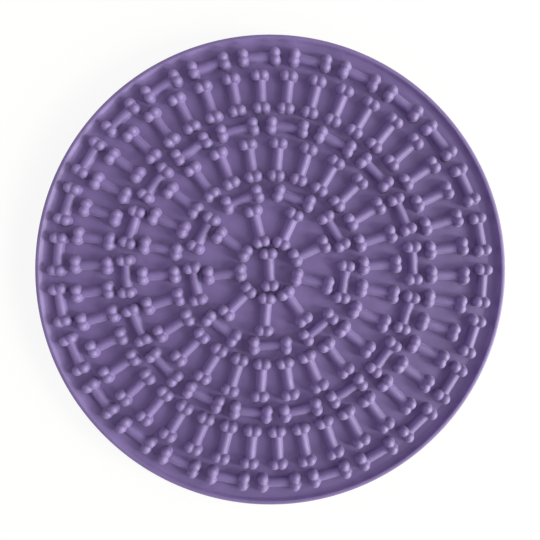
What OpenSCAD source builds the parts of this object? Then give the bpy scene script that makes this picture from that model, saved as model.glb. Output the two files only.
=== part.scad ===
// Round silicone lick mat. It lies flat with its relief up, and +Z is up.
// The origin is in the middle of the mat, on the plane that the suction cups' lips rest on.
// Rings of bones are laid out from the middle: each ring starts one bare strip outside the one
// before it, holds as many bones as its least gap allows, and the rim closes the last one.

/* [Sheet and rim] */
// Thickness of the sheet
sheet_t = 2; // [1.2:0.1:5]
// Radius of the rounding on the sheet's lower edge
sheet_round_r = 0.6; // [0.2:0.1:1]
// Height of the rim above the sheet
rim_h = 2.1; // [1.2:0.1:8]
// Width of the slope that leads up to the rim from inside
rim_slope_w = 1.8; // [0.6:0.1:6]
// Width of the rim's top
rim_top_w = 1.8; // [1.2:0.1:6]
// Radius of the rounding on the rim's outer edge
rim_round_r = 0.9; // [0.2:0.1:1.1]

/* [Bones] */
// Length between the centres of the knobs at a bone's two ends
bone_span = 13.8; // [8:0.1:24]
// Distance between the centres of the two knobs that lie side by side
knob_pitch = 3.2; // [2:0.1:4]
// Diameter of a knob's dome
knob_d = 4.4; // [3.4:0.1:6]
// Height of a knob above the sheet
knob_h = 4.2; // [3.4:0.1:8]
// How far a knob spreads outwards from its dome to its foot, as draft for the mould
knob_draft = 0.2; // [0.05:0.05:0.6]
// Width of a bone's shaft
shaft_w = 4; // [2.4:0.1:4.8]
// Height of a bone's shaft above the sheet
shaft_h = 2.5; // [1.6:0.1:4]
// How far the shaft spreads outwards on each side towards its foot
shaft_draft = 0.1; // [0.05:0.05:0.6]

/* [Bare strips between the rings] */
// From the centre bone to the inner spokes
inner_spoke_strip = 0.4; // [0.3:0.05:10]
// From the inner spokes to the inner ring
inner_ring_strip = 0.5; // [0.3:0.05:10]
// From the inner ring to the middle spokes
middle_spoke_strip = 1; // [0.3:0.05:10]
// From the middle spokes to the middle ring
middle_ring_strip = 1.05; // [0.3:0.05:10]
// From the middle ring to the outer spokes
outer_spoke_strip = 1.1; // [0.3:0.05:10]
// From the outer spokes to the outer ring
outer_ring_strip = 1.6; // [0.3:0.05:10]
// From the outer ring to the foot of the rim
rim_strip = 1.65; // [0.3:0.05:20]

/* [Least gaps between neighbours in a ring] */
// Between the inner ends of the inner spokes
inner_spoke_gap = 0.4; // [0.3:0.1:6]
// Between the inner ends of the middle spokes
middle_spoke_gap = 1.6; // [0.3:0.1:6]
// Between the inner ends of the outer spokes
outer_spoke_gap = 2.2; // [0.3:0.1:6]
// Between the ends of the bones that lie along a ring
lying_gap = 2.6; // [1:0.1:10]

/* [Turn of each ring] */
// Turn of the centre bone from the X axis, in degrees
centre_turn = 93; // [0:1:180]
// Turn of the inner spokes
inner_spoke_turn = 25.2; // [0:0.1:40]
// Turn of the inner ring
inner_ring_turn = 30.8; // [0:0.1:40]
// Turn of the middle spokes
middle_spoke_turn = 2.7; // [0:0.1:20]
// Turn of the middle ring
middle_ring_turn = 2.7; // [0:0.1:20]
// Turn of the outer spokes
outer_spoke_turn = 7; // [0:0.1:20]
// Turn of the outer ring
outer_ring_turn = 9.6; // [0:0.1:20]

/* [Suction cups] */
// Diameter of a suction cup at its lip
cup_d = 18; // [12:0.5:30]
// Height from the lips to the sheet
cup_h = 4; // [3:0.1:8]
// Diameter of the neck that joins a cup to the sheet
cup_neck_d = 9; // [5:0.5:10]
// Thickness of a cup's lip at its edge
cup_lip_t = 0.8; // [0.5:0.1:1.5]
// Width of the lip's flat, which rests on the table
cup_lip_w = 0.8; // [0.5:0.1:2]
// Depth of the hollow inside a cup
cup_hollow = 1.7; // [0.8:0.1:2]
// Number of cups in the inner circle
inner_cups = 6; // [3:1:8]
// Number of cups in the outer circle
outer_cups = 12; // [6:1:16]
// From the edge of the mat to the centres of the outer cups
cup_inset = 17; // [16:0.5:30]

/* [Hidden] */
$fn = 48;
arc_steps = 8;
silicone = [0.46, 0.38, 0.6];
sheet_z = cup_h;
relief_z = sheet_z + sheet_t;

// A knob: its dome's centre, and the post under the dome, which ends inside it.
knob_r = knob_d / 2;
foot_r = knob_r + knob_draft;
dome_z = knob_h - knob_r;
post_h = dome_z + knob_r / 4;
post_top_r = knob_r * 0.9;

// A shaft: a round back on a base with draft, which ends inside the round.
shaft_r = shaft_w / 2;
shaft_foot = shaft_r + shaft_draft;
back_z = shaft_h - shaft_r;
base_top_z = max(back_z, 0) + shaft_r / 4;
base_top = shaft_r * 0.9;

// Places of the knobs in a bone that lies along X.
half_span = bone_span / 2;
half_pitch = knob_pitch / 2;
bone_l = bone_span + 2 * foot_r;
bone_w = knob_pitch + 2 * foot_r;

// Radius of a ring's bone centres from where the ring starts, and how far out the ring reaches.
function spoke_r(start) = half_span + sqrt((start + foot_r) ^ 2 - half_pitch ^ 2);
function spoke_reach(r) = norm([r + half_span, half_pitch]) + foot_r;
function lying_r(start) = half_pitch + sqrt((start + foot_r) ^ 2 - half_span ^ 2);
function lying_reach(r) = norm([r + half_pitch, half_span]) + foot_r;

// How many bones a ring holds with at least the given gap between neighbours.
function spokes_at(r, gap) = floor(2 * PI * (r - half_span) / (bone_w + gap));
function lying_at(r) = floor(2 * PI * r / (bone_l + lying_gap));

centre_reach = spoke_reach(0);
inner_spoke_r = spoke_r(centre_reach + inner_spoke_strip);
inner_ring_r = lying_r(spoke_reach(inner_spoke_r) + inner_ring_strip);
middle_spoke_r = spoke_r(lying_reach(inner_ring_r) + middle_spoke_strip);
middle_ring_r = lying_r(spoke_reach(middle_spoke_r) + middle_ring_strip);
outer_spoke_r = spoke_r(lying_reach(middle_ring_r) + outer_spoke_strip);
outer_ring_r = lying_r(spoke_reach(outer_spoke_r) + outer_ring_strip);
rim_foot_r = lying_reach(outer_ring_r) + rim_strip;
rim_crest_r = rim_foot_r + rim_slope_w;
mat_r = rim_crest_r + rim_top_w;

// Suction cups: the outer circle follows the mat's edge, and the inner one lies halfway to it.
cup_r = cup_d / 2;
hollow_r = cup_r - cup_lip_w;
hollow_ball_r = (hollow_r ^ 2 + cup_hollow ^ 2) / (2 * cup_hollow);
outer_cup_r = mat_r - cup_inset;
inner_cup_r = outer_cup_r / 2;

// The round sheet, with its lower edge rounded.
module base_sheet() {
    edge_r = mat_r - sheet_round_r;
    edge = [for (i = [0 : arc_steps]) let (a = 90 * i / arc_steps - 90)
        [edge_r + sheet_round_r * cos(a), sheet_round_r + sheet_round_r * sin(a)]];
    color(silicone) translate([0, 0, sheet_z]) rotate_extrude()
        polygon(concat([[0, 0]], edge, [[mat_r, sheet_t], [0, sheet_t]]));
}

// The raised rim: a hollow slope inside, a flat top and a rounded outer edge.
module rim() {
    slope = [for (i = [0 : arc_steps]) let (t = i / arc_steps)
        [rim_foot_r + rim_slope_w * t, rim_h * t ^ 2]];
    edge_r = mat_r - rim_round_r;
    edge_z = rim_h - rim_round_r;
    edge = [for (i = [0 : arc_steps]) let (a = 90 - 90 * i / arc_steps)
        [edge_r + rim_round_r * cos(a), edge_z + rim_round_r * sin(a)]];
    color(silicone) translate([0, 0, relief_z]) rotate_extrude()
        polygon(concat(slope, edge, [[mat_r, 0]]));
}

// One knob, standing on the origin: a dome on a post with draft.
module knob() {
    rotate_extrude() intersection() {
        union() {
            translate([0, dome_z]) circle(r = knob_r);
            polygon([[0, 0], [foot_r, 0], [post_top_r, post_h], [0, post_h]]);
        }
        square([foot_r, knob_h]);
    }
}

// Cross-section of a shaft, standing on the X axis.
module shaft_section() {
    intersection() {
        union() {
            translate([0, back_z]) circle(r = shaft_r);
            polygon([[-shaft_foot, 0], [shaft_foot, 0], [base_top, base_top_z], [-base_top, base_top_z]]);
        }
        translate([-shaft_foot, 0]) square([2 * shaft_foot, shaft_h]);
    }
}

// One bone along X: a shaft between two pairs of knobs.
module bone() {
    rotate([90, 0, 90]) translate([0, 0, -half_span]) linear_extrude(bone_span) shaft_section();
    for (x = [-half_span, half_span], y = [-half_pitch, half_pitch])
        translate([x, y, 0]) knob();
}

// A ring of bones: spokes point to the middle, and the others lie along the ring.
module bone_ring(r, count, turn, lying = false) {
    color(silicone) for (i = [0 : count - 1])
        rotate([0, 0, turn + 360 * i / count]) translate([r, 0, relief_z])
            rotate([0, 0, lying ? 90 : 0]) bone();
}

module centre_bone() {
    color(silicone) translate([0, 0, relief_z]) rotate([0, 0, centre_turn]) bone();
}

module inner_spoke_bones() {
    bone_ring(inner_spoke_r, spokes_at(inner_spoke_r, inner_spoke_gap), inner_spoke_turn);
}

module inner_ring_bones() {
    bone_ring(inner_ring_r, lying_at(inner_ring_r), inner_ring_turn, lying = true);
}

module middle_spoke_bones() {
    bone_ring(middle_spoke_r, spokes_at(middle_spoke_r, middle_spoke_gap), middle_spoke_turn);
}

module middle_ring_bones() {
    bone_ring(middle_ring_r, lying_at(middle_ring_r), middle_ring_turn, lying = true);
}

module outer_spoke_bones() {
    bone_ring(outer_spoke_r, spokes_at(outer_spoke_r, outer_spoke_gap), outer_spoke_turn);
}

module outer_ring_bones() {
    bone_ring(outer_ring_r, lying_at(outer_ring_r), outer_ring_turn, lying = true);
}

// One suction cup, lip down: a neck that flares to a thin lip round a shallow hollow.
module suction_cup() {
    neck_r = cup_neck_d / 2;
    flare_z = (cup_h + cup_lip_t) / 2;
    difference() {
        rotate_extrude()
            polygon([[0, 0], [cup_r, 0], [cup_r, cup_lip_t], [neck_r, flare_z], [neck_r, cup_h], [0, cup_h]]);
        translate([0, 0, cup_hollow - hollow_ball_r]) sphere(r = hollow_ball_r);
    }
}

module cup_circle(r, count) {
    color(silicone) for (i = [0 : count - 1])
        rotate([0, 0, 360 * i / count]) translate([r, 0, 0]) suction_cup();
}

module centre_suction_cup() {
    color(silicone) suction_cup();
}

module inner_suction_cups() {
    cup_circle(inner_cup_r, inner_cups);
}

module outer_suction_cups() {
    cup_circle(outer_cup_r, outer_cups);
}

base_sheet();
rim();
centre_bone();
inner_spoke_bones();
inner_ring_bones();
middle_spoke_bones();
middle_ring_bones();
outer_spoke_bones();
outer_ring_bones();
centre_suction_cup();
inner_suction_cups();
outer_suction_cups();
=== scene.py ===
"""Looks of the round silicone lick mat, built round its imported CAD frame.

Every ring of bones gets one finely moulded bone, copied to the places that the CAD bones hold.
The rim, the sheet and the suction cups are turned from smooth profiles that keep the CAD sizes.
Forms are worked out in mm, and lamps and camera are placed in metres.
"""

import math

import bpy
import numpy as np
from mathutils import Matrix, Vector


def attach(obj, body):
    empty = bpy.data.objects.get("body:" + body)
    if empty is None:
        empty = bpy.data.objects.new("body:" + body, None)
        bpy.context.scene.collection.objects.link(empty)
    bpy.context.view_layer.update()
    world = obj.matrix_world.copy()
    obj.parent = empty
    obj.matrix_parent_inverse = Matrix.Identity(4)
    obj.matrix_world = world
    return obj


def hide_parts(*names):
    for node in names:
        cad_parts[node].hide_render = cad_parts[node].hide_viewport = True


MM = 0.001

BONE_NODES = [
    "centre_bone",
    "inner_spoke_bones",
    "inner_ring_bones",
    "middle_spoke_bones",
    "middle_ring_bones",
    "outer_spoke_bones",
    "outer_ring_bones",
]
CUP_NODES = ["centre_suction_cup", "inner_suction_cups", "outer_suction_cups"]

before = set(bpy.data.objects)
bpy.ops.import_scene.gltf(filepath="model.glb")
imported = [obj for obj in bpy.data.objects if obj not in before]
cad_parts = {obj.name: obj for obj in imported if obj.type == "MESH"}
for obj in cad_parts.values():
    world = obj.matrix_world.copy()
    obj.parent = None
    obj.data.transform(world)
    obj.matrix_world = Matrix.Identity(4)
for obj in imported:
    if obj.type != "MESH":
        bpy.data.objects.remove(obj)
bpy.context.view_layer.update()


# ---------------------------------------------------------------- reading the frame, in mm


def islands(node):
    """The separate solids of a CAD node, each as its points in mm."""
    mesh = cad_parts[node].data
    co = np.zeros(len(mesh.vertices) * 3)
    mesh.vertices.foreach_get("co", co)
    co = co.reshape(-1, 3) / MM
    edges = np.zeros(len(mesh.edges) * 2, int)
    mesh.edges.foreach_get("vertices", edges)
    points, index = np.unique(np.round(co, 3), axis=0, return_inverse=True)
    a, b = index.reshape(-1)[edges.reshape(-1, 2)].T
    label = np.arange(len(points))
    while True:
        low = np.minimum(label[a], label[b])
        new = label.copy()
        np.minimum.at(new, a, low)
        np.minimum.at(new, b, low)
        new = new[new]
        if (new == label).all():
            break
        label = new
    return [points[label == k] for k in np.unique(label)]


def lie(points):
    """Where a bone lies: its middle and the angle of its long side."""
    flat = points[:, :2]
    spread = np.cov((flat - flat.mean(0)).T)
    axis = np.linalg.eigh(spread)[1][:, 1]
    across = np.array([-axis[1], axis[0]])
    u, v = flat @ axis, flat @ across
    middle = axis * (u.max() + u.min()) / 2 + across * (v.max() + v.min()) / 2
    return middle, math.atan2(axis[1], axis[0])


def reach(node):
    """A node's least and greatest distance from the middle of the mat, and its lowest and highest point."""
    points = np.vstack(islands(node))
    r = np.hypot(points[:, 0], points[:, 1])
    return r.min(), r.max(), points[:, 2].min(), points[:, 2].max()


FACET_ROOM = 0.03  # keeps the smooth edge inside the box of the CAD mesh, which has flat facets

_, CAD_R, SHEET_Z, RELIEF_Z = reach("base_sheet")
MAT_R = CAD_R - FACET_ROOM
RIM_FOOT, _, _, RIM_TOP = reach("rim")
BONES = {node: [lie(solid) for solid in islands(node)] for node in BONE_NODES}


# ---------------------------------------------------------------- the bone's form, in mm

HALF_SPAN = 6.9  # from the middle of a bone to the middle of a pair of knobs
HALF_PITCH = 1.6  # from a bone's centre line to a knob's centre
SHAFT_TUCK = 1.0  # the straight part of the shaft ends this far short of the knobs
KNOB = (2.5, -1.0, 2.2, 2.0)  # radius low down, its height, radius of the dome, height of its centre
SHAFT = (2.35, -1.0, 2.05, 0.4)
CREASE = 0.7  # blend between the two knobs of a pair
THROAT = 0.35  # blend between the knobs and the shaft
TOE = 0.28  # reach of the fillet where a bone meets the sheet
SUNK = 0.02  # how far the edge of a bone's skin goes into the sheet


def pin(q, z, form):
    """Distance to a round-headed pin with draft, at q from its axis and height z."""
    low_r, low_z, top_r, top_z = form
    height = top_z - low_z
    lean = (low_r - top_r) / height
    upright = math.sqrt(1 - lean * lean)
    up = z - low_z
    side = q * upright + up * lean - low_r
    head = np.hypot(q, up - height) - top_r
    return np.where(up * upright - q * lean > upright * height, head, side)


def blend(a, b, k):
    """The lesser of two distances, rounded where they meet."""
    h = np.maximum(k - np.abs(a - b), 0) / k
    return np.minimum(a, b) - h * h * k / 4


def bone(p):
    """Distance to a bone without its fillet."""
    x, y, z = np.abs(p[:, 0]), p[:, 1], p[:, 2]
    ends = [pin(np.hypot(x - HALF_SPAN, y - s * HALF_PITCH), z, KNOB) for s in (-1, 1)]
    shaft = pin(np.hypot(np.maximum(x - HALF_SPAN + SHAFT_TUCK, 0), y), z, SHAFT)
    return blend(blend(ends[0], ends[1], CREASE), shaft, THROAT)


def skin(p):
    """Distance to a bone and the sheet under it, with the fillet between them."""
    return blend(bone(p), p[:, 2], TOE)


def toe(p):
    """Distance, on the sheet, to the line round a bone where its fillet ends."""
    return bone(p) - TOE


def slope(f, p, step=0.002):
    """Gradient of a distance."""
    g = np.zeros_like(p)
    for i in range(3):
        d = np.zeros(3)
        d[i] = step
        g[:, i] = (f(p + d) - f(p - d)) / (2 * step)
    return g


# ---------------------------------------------------------------- the bone's grid, in mm

ALONG, ACROSS = 60, 32  # faces of the grid
EDGE_ROWS = (0.35, 0.6, 0.85)  # relative widths of the rows next to the edge, where the fillet is
CORNER = 48  # where round the end knobs the grid's corners lie, in degrees from the bone's line
BEYOND = (14, 7, 6)  # lengths along, across and up that are surely outside a bone
HALVINGS = 30  # of the stretch that a search looks through
ROUNDS = 260  # of evening out the grid
PULL = 0.6  # share of the way that a point goes in a round
LEAST_SLOPE = 0.05  # squared, and keeps a point from jumping where the distance is nearly level


def search(f, low, high, place):
    """The length between low, inside, and high, outside, where f turns from negative to positive."""
    for _ in range(HALVINGS):
        middle = (low + high) / 2
        inside = f(place(middle)) < 0
        low = np.where(inside, middle, low)
        high = np.where(inside, high, middle)
    return (low + high) / 2


def settle(f, p, level=False):
    """Points moved down or up the slope of f to where f is zero, without change of height if level."""
    g = slope(f, p)
    if level:
        g[:, 2] = 0
    return p - g * (f(p) / np.maximum((g * g).sum(1), LEAST_SLOPE))[:, None]


def stiffness(count):
    """Pull between neighbours along a side of the grid, stronger where the rows are narrow."""
    width = np.ones(count)
    width[:len(EDGE_ROWS)] = EDGE_ROWS
    width[-len(EDGE_ROWS):] = EDGE_ROWS[::-1]
    return 1 / width


def first_grid():
    """A rough grid over one bone, whose edge follows the end of the fillet."""
    n, m = ALONG + 1, ACROSS + 1
    far_x, far_y, far_z = BEYOND
    corner_x = HALF_SPAN + (KNOB[2] + TOE) * math.cos(math.radians(CORNER))
    xs = np.linspace(-corner_x, corner_x, n)
    zero = np.zeros(n)
    side = search(toe, zero, zero + far_y, lambda y: np.stack([xs, y, zero], 1))
    ys = np.linspace(-side[0], side[0], m)
    none = np.zeros(m)
    end = search(toe, none + HALF_SPAN, none + far_x, lambda x: np.stack([x, ys, none], 1))
    s = np.linspace(0, 1, n)[:, None]
    t = np.linspace(0, 1, m)[None, :]
    x = -end[None, :] * (1 - s) + end[None, :] * s
    y = -side[:, None] * (1 - t) + side[:, None] * t
    # The four edges agree at the corners, so a plain blend of the two pairs is enough.
    keep = np.abs(2 * s - 1) ** 3
    x = keep * x + (1 - keep) * xs[:, None]
    keep = np.abs(2 * t - 1) ** 3
    y = keep * y + (1 - keep) * ys[None, :]
    flat = np.stack([x, y, np.zeros_like(x)], 2).reshape(-1, 3)
    none = np.zeros(len(flat))
    high = search(skin, none, none + far_z, lambda z: np.stack([flat[:, 0], flat[:, 1], z], 1))
    return np.stack([x, y, high.reshape(n, m)], 2)


def evened(p, along, across):
    """The grid with each point at the mean of its neighbours.

    A point on the edge goes to the mean of the two beside it on the edge, and a corner stays.
    """
    a1, a2 = along[:-1, None, None], along[1:, None, None]
    c1, c2 = across[None, :-1, None], across[None, 1:, None]
    q = p.copy()
    total = a1 * p[:-2, 1:-1] + a2 * p[2:, 1:-1] + c1 * p[1:-1, :-2] + c2 * p[1:-1, 2:]
    q[1:-1, 1:-1] = total / (a1 + a2 + c1 + c2)
    for k in (0, -1):
        q[1:-1, k] = (a1[:, 0] * p[:-2, k] + a2[:, 0] * p[2:, k]) / (a1 + a2)[:, 0]
        q[k, 1:-1] = (c1[0] * p[k, :-2] + c2[0] * p[k, 2:]) / (c1 + c2)[0]
    return q


def bone_grid():
    """Points of one bone's skin, as a grid that follows its outline, and their normals."""
    p = first_grid()
    n, m = p.shape[:2]
    edge = np.ones((n, m), bool)
    edge[1:-1, 1:-1] = False
    along, across = stiffness(n - 1), stiffness(m - 1)
    for _ in range(ROUNDS):
        p = p + PULL * (evened(p, along, across) - p)
        p[~edge] = settle(skin, p[~edge])
        p[edge, 2] = 0
        p[edge] = settle(toe, p[edge], level=True)
    normal = slope(skin, p.reshape(-1, 3)).reshape(n, m, 3)
    normal[edge] = (0, 0, 1)
    normal /= np.linalg.norm(normal, axis=2, keepdims=True)
    p[edge, 2] = -SUNK
    return p, normal


# ---------------------------------------------------------------- profiles of the turned pieces, in mm

FLAT_RINGS = 12  # rings of faces on the flat top and underside of the sheet
SHEET_BEVEL = [(0.6, 0), (0.1, 0), (0.02, 0.01), (0, 0.04), (0, 0.15)]  # in from the edge, down from the top
SHEET_ROUND = 0.6  # radius of the edge underneath
SHEET_STRAIGHT = 0.75  # from the corner underneath to where edge and underside are straight

RIM_RAMP = [(-3.2, -0.02), (-2.4, 0.13), (-0.6, 0.35), (0.2, 0.57), (0.9, 0.87)]  # out and up from the foot
RIM_CREST = [(1.5, 0.5), (1.9, 0.06), (2.3, 0.0)]  # out from the foot, down from the top
RIM_ROUND = 1.0
RIM_WALL = (0.9, 0.3, -0.03, -0.05)  # heights on the outer wall, up from the top of the sheet

# Radius and height of points on a cup. The neck's heights are counted up from the sheet's underside.
CUP_NECK = [(5.7, 0.04), (5.6, 0.02), (4.95, -0.12), (4.6, -0.5), (4.55, -1.1), (4.9, -1.55)]
CUP_SKIRT = [(6.2, 1.85), (7.8, 1.25), (8.75, 0.88)]
CUP_LIP = (8.6, 0.4, 0.4)  # centre and radius of the rounded lip
CUP_HOLLOW = [(8.2, 0.0), (8.05, 0.06), (7.0, 0.5), (5.0, 1.08), (2.5, 1.55), (0.0, 1.7)]


def arc(cx, cz, r, start, stop, steps):
    """Points of an arc in a profile, angles in degrees."""
    out = []
    for i in range(steps + 1):
        a = math.radians(start + (stop - start) * i / steps)
        out.append((cx + r * math.cos(a), cz + r * math.sin(a)))
    return out


def curve(points, steps):
    """A smooth line through a few profile points."""
    p = np.array([points[0]] + list(points) + [points[-1]], float)
    out = []
    for i in range(1, len(p) - 2):
        for j in range(steps):
            t = j / steps
            out.append(tuple(0.5 * ((2 * p[i]) + (p[i + 1] - p[i - 1]) * t
                       + (2 * p[i - 1] - 5 * p[i] + 4 * p[i + 1] - p[i + 2]) * t ** 2
                       + (3 * p[i] - p[i - 1] - 3 * p[i + 1] + p[i + 2]) * t ** 3)))
    out.append(tuple(p[-2]))
    return out


def sheet_profile():
    """A flat top, a straight edge and a rounding underneath."""
    rings = [MAT_R * i / FLAT_RINGS for i in range(1, FLAT_RINGS)]
    top = [(0, RELIEF_Z)] + [(r, RELIEF_Z) for r in rings]
    edge = [(MAT_R - inward, RELIEF_Z - down) for inward, down in SHEET_BEVEL]
    edge.append((MAT_R, SHEET_Z + SHEET_STRAIGHT))
    edge += arc(MAT_R - SHEET_ROUND, SHEET_Z + SHEET_ROUND, SHEET_ROUND, 0, -90, 10)
    edge.append((MAT_R - SHEET_STRAIGHT, SHEET_Z))
    underside = [(r, SHEET_Z) for r in rings[::-1]] + [(0, SHEET_Z)]
    return top + edge + underside


def rim_profile():
    """A long faint ramp, a steep inner face, a soft crest, a rounded outside and a foot inside the sheet."""
    inner = [(RIM_FOOT + out, RELIEF_Z + up) for out, up in RIM_RAMP]
    inner += [(RIM_FOOT + out, RIM_TOP - down) for out, down in RIM_CREST]
    outer = arc(MAT_R - RIM_ROUND, RIM_TOP - RIM_ROUND, RIM_ROUND, 90, 0, 12)[1:]
    wall = [(MAT_R, RELIEF_Z + up) for up in RIM_WALL]
    inner = curve(inner, 5)
    return inner + outer + wall + [(RIM_FOOT, RELIEF_Z + RIM_WALL[-1]), inner[0]]


def cup_profile():
    """A neck with a fillet, a thin skirt that flares out, a round lip and a shallow hollow."""
    neck = [(r, SHEET_Z + up) for r, up in CUP_NECK]
    outside = [(0, neck[0][1])] + curve(neck + CUP_SKIRT, 5)
    return outside + arc(*CUP_LIP, 70, -90, 8)[1:] + curve(CUP_HOLLOW, 4)


def lathe(profile, steps, middle=(0, 0)):
    """Points and faces of a profile of (radius, height) turned about a vertical axis.

    The outside is to the left of the profile's run.
    """
    points, rings = [], []
    for r, z in profile:
        if r == 0:
            rings.append([len(points)])
            points.append((middle[0], middle[1], z))
            continue
        rings.append(list(range(len(points), len(points) + steps)))
        for i in range(steps):
            a = 2 * math.pi * i / steps
            points.append((middle[0] + r * math.cos(a), middle[1] + r * math.sin(a), z))
    faces = []
    for a, b in zip(rings[:-1], rings[1:]):
        for i in range(steps):
            j = (i + 1) % steps
            if len(a) == 1:
                faces.append((a[0], b[i], b[j]))
            elif len(b) == 1:
                faces.append((a[i], b[0], a[j]))
            else:
                faces.append((a[i], b[i], b[j], a[j]))
    return points, faces


# ---------------------------------------------------------------- the silicone


class Nodes:
    """The nodes of a material or a world, with short ways to add them."""

    def __init__(self, owner):
        owner.use_nodes = True
        self.tree = owner.node_tree
        self.tree.nodes.clear()

    def put(self, socket, value):
        """Gives an input a plain value, or links it to another node's output."""
        if isinstance(value, bpy.types.NodeSocket):
            self.tree.links.new(value, socket)
        else:
            socket.default_value = value

    def add(self, kind, inputs=(), **settings):
        """A node with its settings and its inputs, by their names or numbers."""
        node = self.tree.nodes.new("ShaderNode" + kind)
        for name, value in settings.items():
            setattr(node, name, value)
        for key, value in dict(inputs).items():
            self.put(node.inputs[key], value)
        return node

    def noise(self, place, scale, detail, rough=0.5):
        """A noise pattern with about scale spots to the metre."""
        node = self.add("TexNoise", {"Vector": place, "Scale": scale, "Detail": detail, "Roughness": rough})
        return node.outputs["Fac"]

    def span(self, value, low, high, to_low, to_high, kind="SMOOTHSTEP"):
        """A value from low to high, stretched to go from to_low to to_high."""
        limits = {"From Min": low, "From Max": high, "To Min": to_low, "To Max": to_high}
        node = self.add("MapRange", {"Value": value, **limits}, interpolation_type=kind)
        return node.outputs["Result"]

    def maths(self, operation, a, b):
        """A sum, product or the like of two values."""
        return self.add("Math", {0: a, 1: b}, operation=operation).outputs[0]

    def mix(self, factor, a, b):
        """Colour a where the factor is 0, and b where it is 1."""
        node = self.add("Mix", {"Factor": factor}, data_type="RGBA")
        colours = [socket for socket in node.inputs if socket.type == "RGBA"]
        self.put(colours[0], a)
        self.put(colours[1], b)
        return [socket for socket in node.outputs if socket.type == "RGBA"][0]

    def bump(self, pattern, strength, depth, under=()):
        """A relief of a depth in mm, on top of the one under it."""
        inputs = {"Strength": strength, "Distance": depth * MM, "Height": pattern, **dict(under)}
        return self.add("Bump", inputs).outputs["Normal"]


def srgb(r, g, b):
    """A colour given in 0-255 as the eye sees it, as Blender's linear one."""
    lin = [c / 255 / 12.92 if c <= 10 else ((c / 255 + 0.055) / 1.055) ** 2.4 for c in (r, g, b)]
    return (*lin, 1.0)


COLOUR = srgb(104, 82, 141)
COLOUR_CLOUD_AND_SHADE = srgb(95, 74, 131)
COLOUR_PALE = srgb(118, 98, 152)
ROUGH = 0.63
POLISH = 0.12  # how much less rough a knob top is where its wear is full
PAINTED_SHADE_HEIGHTS = (-0.1, 0.9)  # heights above the sheet's top over which the painted shade of the sheet and the bones' roots fades out
TOPS = (3.1, 4.2)  # heights above the sheet's top over which the wear and the painted highlight on the knob tops set in


def silicone():
    """Satin lilac silicone: faintly cloudy, with a fine moulded grain, knob tops paler and smoother from
    wear and a painted highlight, and painted shade low on the sheet and the bones' roots.
    """
    mat = bpy.data.materials.new("silicone_satin")
    nodes = Nodes(mat)
    place = nodes.add("TexCoord").outputs["Object"]
    height = nodes.add("SeparateXYZ", {0: place}).outputs["Z"]

    def at_heights(limits, to_low, to_high):
        low, high = [(RELIEF_Z + up) * MM for up in limits]
        return nodes.span(height, low, high, to_low, to_high)

    clouds = nodes.span(nodes.noise(place, 55, 4, 0.6), 0.3, 0.7, 0, 1)
    specks = nodes.span(nodes.noise(place, 900, 2), 0.62, 0.72, 0, 0.25)
    patches = nodes.span(nodes.noise(place, 140, 3), 0.35, 0.65, 0.15, 0.5)
    # Knob tops paler: part wear, part a painted highlight where the raised tops catch the light.
    wear_and_highlight = nodes.maths("MULTIPLY", at_heights(TOPS, 0, 1), patches)
    colour = nodes.mix(clouds, COLOUR_CLOUD_AND_SHADE, COLOUR)
    colour = nodes.mix(specks, colour, COLOUR_PALE)
    # Painted shade: the deeper colour lies on the sheet and the roots of the bones, low down.
    colour = nodes.mix(at_heights(PAINTED_SHADE_HEIGHTS, 0.35, 0), colour, COLOUR_CLOUD_AND_SHADE)
    colour = nodes.mix(wear_and_highlight, colour, COLOUR_PALE)

    rough = nodes.span(nodes.noise(place, 420, 4, 0.6), 0.3, 0.7, ROUGH - 0.05, ROUGH + 0.05, "LINEAR")
    rough = nodes.maths("SUBTRACT", rough, nodes.maths("MULTIPLY", wear_and_highlight, POLISH))

    waves = nodes.bump(nodes.noise(place, 120, 2), 0.5, 0.25)
    dimples = nodes.bump(nodes.noise(place, 950, 2), 0.5, 0.09, {"Normal": waves})
    grain = nodes.bump(nodes.noise(place, 2600, 3, 0.6), 0.7, 0.06, {"Normal": dimples})

    shader = nodes.add("BsdfPrincipled", {
        "Base Color": colour,
        "Roughness": rough,
        "Normal": grain,
        "IOR": 1.43,
        "Specular IOR Level": 0.8,
        "Sheen Weight": 0.15,
        "Subsurface Weight": 0.08,
        "Subsurface Radius": (0.6, 0.4, 0.7),
        "Subsurface Scale": 0.002,
    })
    nodes.add("OutputMaterial", {0: shader.outputs[0]})
    return mat


# ---------------------------------------------------------------- the pieces

MAT_STEPS = 288  # faces round the mat
CUP_STEPS = 56  # faces round a cup

SILICONE = silicone()
BONE_GRID = bone_grid()


def make(name, points, faces, normals=None, replaces=()):
    """One smooth piece of the mat from points in mm."""
    mesh = bpy.data.meshes.new(name)
    mesh.from_pydata((np.asarray(points) * MM).tolist(), [], faces)
    mesh.update()
    mesh.polygons.foreach_set("use_smooth", [True] * len(mesh.polygons))
    if normals is not None:
        mesh.normals_split_custom_set_from_vertices(np.asarray(normals).tolist())
    obj = bpy.data.objects.new(name, mesh)
    bpy.context.scene.collection.objects.link(obj)
    mesh.materials.append(SILICONE)
    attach(obj, "root")
    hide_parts(*replaces)
    return obj


def ring_of_bones(node):
    """All bones of one CAD node, as one piece. Each is closed by one face inside the sheet."""
    grid, normal = BONE_GRID
    n, m = grid.shape[:2]
    k = np.arange(n * m).reshape(n, m)
    quads = np.stack([k[:-1, :-1], k[1:, :-1], k[1:, 1:], k[:-1, 1:]], 2).reshape(-1, 4)
    bottom = np.concatenate([k[0, :-1], k[:-1, -1], k[-1, :0:-1], k[:0:-1, 0]])
    points, normals, faces = [], [], []
    for i, (middle, turn) in enumerate(BONES[node]):
        c, s = math.cos(turn), math.sin(turn)
        rot = np.array([[c, s, 0], [-s, c, 0], [0, 0, 1]])
        points.append(grid.reshape(-1, 3) @ rot + [middle[0], middle[1], RELIEF_Z])
        normals.append(normal.reshape(-1, 3) @ rot)
        faces += (quads + i * n * m).tolist()
        faces.append((bottom + i * n * m).tolist())
    return make(node + "_moulded", np.vstack(points), faces, np.vstack(normals), [node])


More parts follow.
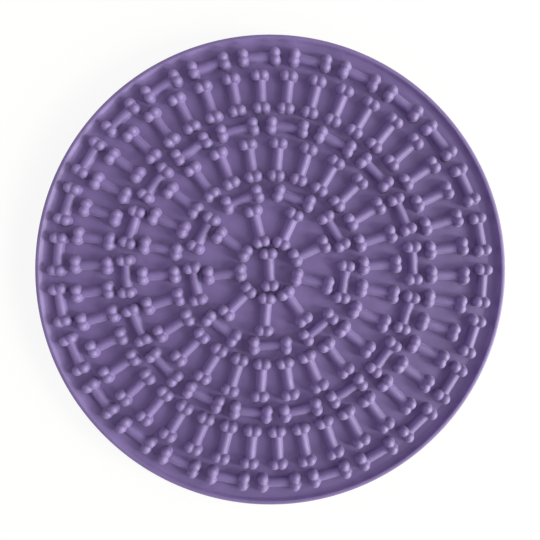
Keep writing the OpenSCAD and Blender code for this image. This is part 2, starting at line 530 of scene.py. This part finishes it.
def ring_of_cups(node):
    """All suction cups of one CAD node, as one piece."""
    profile = cup_profile()
    points, faces = [], []
    for solid in islands(node):
        low, high = solid.min(0), solid.max(0)
        cup_points, cup_faces = lathe(profile, CUP_STEPS, (low[:2] + high[:2]) / 2)
        faces += [tuple(i + len(points) for i in face) for face in cup_faces]
        points += cup_points
    return make(node + "_moulded", points, faces, replaces=[node])


for name in BONE_NODES:
    ring_of_bones(name)
make("base_sheet_moulded", *lathe(sheet_profile(), MAT_STEPS), replaces=["base_sheet"])
make("rim_moulded", *lathe(rim_profile(), MAT_STEPS), replaces=["rim"])
for name in CUP_NODES:
    ring_of_cups(name)


# ---------------------------------------------------------------- studio, in metres

WHITE = (1, 1, 1, 1)
FLOOR_HALF = 3.0  # half the floor's width
FLOOR_DROP = 0.00005  # keeps the floor just under the lips of the cups
FLOOR_GREY = 0.85  # what the floor sends back of the light on it
FLOOR_GLOW = 0.9  # share of plain white in what the picture shows of the floor
WORLD_DIM = 0.03  # light that the world itself gives the mat
DAYLIGHT = (1.0, 1.09, 0.87)
BOUNCE = (1.0, 0.88, 1.03)  # light that comes back off lilac surroundings
PANEL_DISTANCE = 0.42
PANEL_SIZE = (0.25, 0.06)


def background_rays(nodes):
    """1 for rays that show the background: from the camera, off a gloss or through glass. 0 for others."""
    path = nodes.add("LightPath")
    seen = path.outputs["Is Camera Ray"]
    for kind in ("Is Glossy Ray", "Is Transmission Ray"):
        seen = nodes.maths("MAXIMUM", seen, path.outputs[kind])
    return seen


def white_floor():
    """A floor that is white in the picture and keeps a soft part of the mat's shadow."""
    mesh = bpy.data.meshes.new("studio_floor")
    s, low = FLOOR_HALF, -FLOOR_DROP
    mesh.from_pydata([(-s, -s, low), (s, -s, low), (s, s, low), (-s, s, low)], [], [(0, 1, 2, 3)])
    obj = bpy.data.objects.new("studio_floor", mesh)
    bpy.context.scene.collection.objects.link(obj)
    mat = bpy.data.materials.new("studio_white")
    nodes = Nodes(mat)
    matt = nodes.add("BsdfDiffuse", {"Color": (FLOOR_GREY, FLOOR_GREY, FLOOR_GREY, 1)})
    glow = nodes.add("Emission", {"Color": WHITE})
    share = nodes.maths("MULTIPLY", background_rays(nodes), FLOOR_GLOW)
    mixed = nodes.add("MixShader", {"Fac": share, 1: matt.outputs[0], 2: glow.outputs[0]})
    nodes.add("OutputMaterial", {0: mixed.outputs[0]})
    mesh.materials.append(mat)


def white_world():
    """A world that is white where it is seen, and gives the mat next to no light."""
    world = bpy.data.worlds.new("studio_world")
    bpy.context.scene.world = world
    nodes = Nodes(world)
    dim = nodes.add("Background", {"Color": WHITE, "Strength": WORLD_DIM})
    white = nodes.add("Background", {"Color": WHITE, "Strength": 1.0})
    mixed = nodes.add("MixShader", {"Fac": background_rays(nodes), 1: dim.outputs[0], 2: white.outputs[0]})
    nodes.add("OutputWorld", {0: mixed.outputs[0]})


def lamp(name, kind, azimuth, elevation, distance, tint):
    """A lamp that looks at the middle of the mat from a direction in degrees, and isn't seen itself."""
    data = bpy.data.lights.new(name, kind)
    data.color = tint
    obj = bpy.data.objects.new(name, data)
    bpy.context.scene.collection.objects.link(obj)
    a, e = math.radians(azimuth), math.radians(elevation)
    obj.location = Vector((math.cos(a) * math.cos(e), math.sin(a) * math.cos(e), math.sin(e))) * distance
    obj.rotation_euler = (-obj.location).to_track_quat("-Z", "Y").to_euler()
    obj.visible_camera = False
    return data


def sky(name, azimuth, elevation, spread, level, tint):
    """A far, round, soft lamp. At level 1 a surface that faces it renders as its colour is written."""
    data = lamp(name, "SUN", azimuth, elevation, 1.0, tint)
    data.angle = math.radians(spread)
    data.energy = math.pi * level


def panel(name, azimuth, elevation, level, tint):
    """A low lamp close to the mat, whose light falls off across it. The level is the one at the middle."""
    data = lamp(name, "AREA", azimuth, elevation, PANEL_DISTANCE, tint)
    data.shape = "RECTANGLE"
    data.size, data.size_y = PANEL_SIZE
    data.energy = math.pi ** 2 * PANEL_DISTANCE ** 2 * level


def photo_camera():
    """Looks down, less than a degree off plumb, with the small shift of the photograph's framing."""
    data = bpy.data.cameras.new("camera")
    data.sensor_width = 36
    data.lens = 43.888
    data.shift_x = -0.0596
    data.shift_y = -0.0541
    data.clip_start = 0.01
    obj = bpy.data.objects.new("camera", data)
    bpy.context.scene.collection.objects.link(obj)
    obj.location = (0.0175, 0.0139, 0.287)
    obj.rotation_euler = (-0.00536, 0.01223, -0.0002)
    bpy.context.scene.camera = obj
    bpy.context.scene.view_settings.view_transform = "Standard"


white_floor()
sky("window_middle", -15, 22, 17, 1.06, DAYLIGHT)
sky("window_near_end", -45, 17, 18, 0.65, DAYLIGHT)
sky("window_far_end", 15, 30, 24, 0.42, DAYLIGHT)
panel("panel_middle", -15, 15, 0.32, DAYLIGHT)
panel("panel_far_end", 15, 13, 0.19, DAYLIGHT)
sky("wall_left", 180, 16, 40, 0.29, BOUNCE)
sky("wall_far", 110, 25, 40, 0.15, BOUNCE)
sky("wall_near", -120, 25, 40, 0.08, BOUNCE)
sky("ceiling", 0, 90, 40, 0.14, BOUNCE)
white_world()
photo_camera()
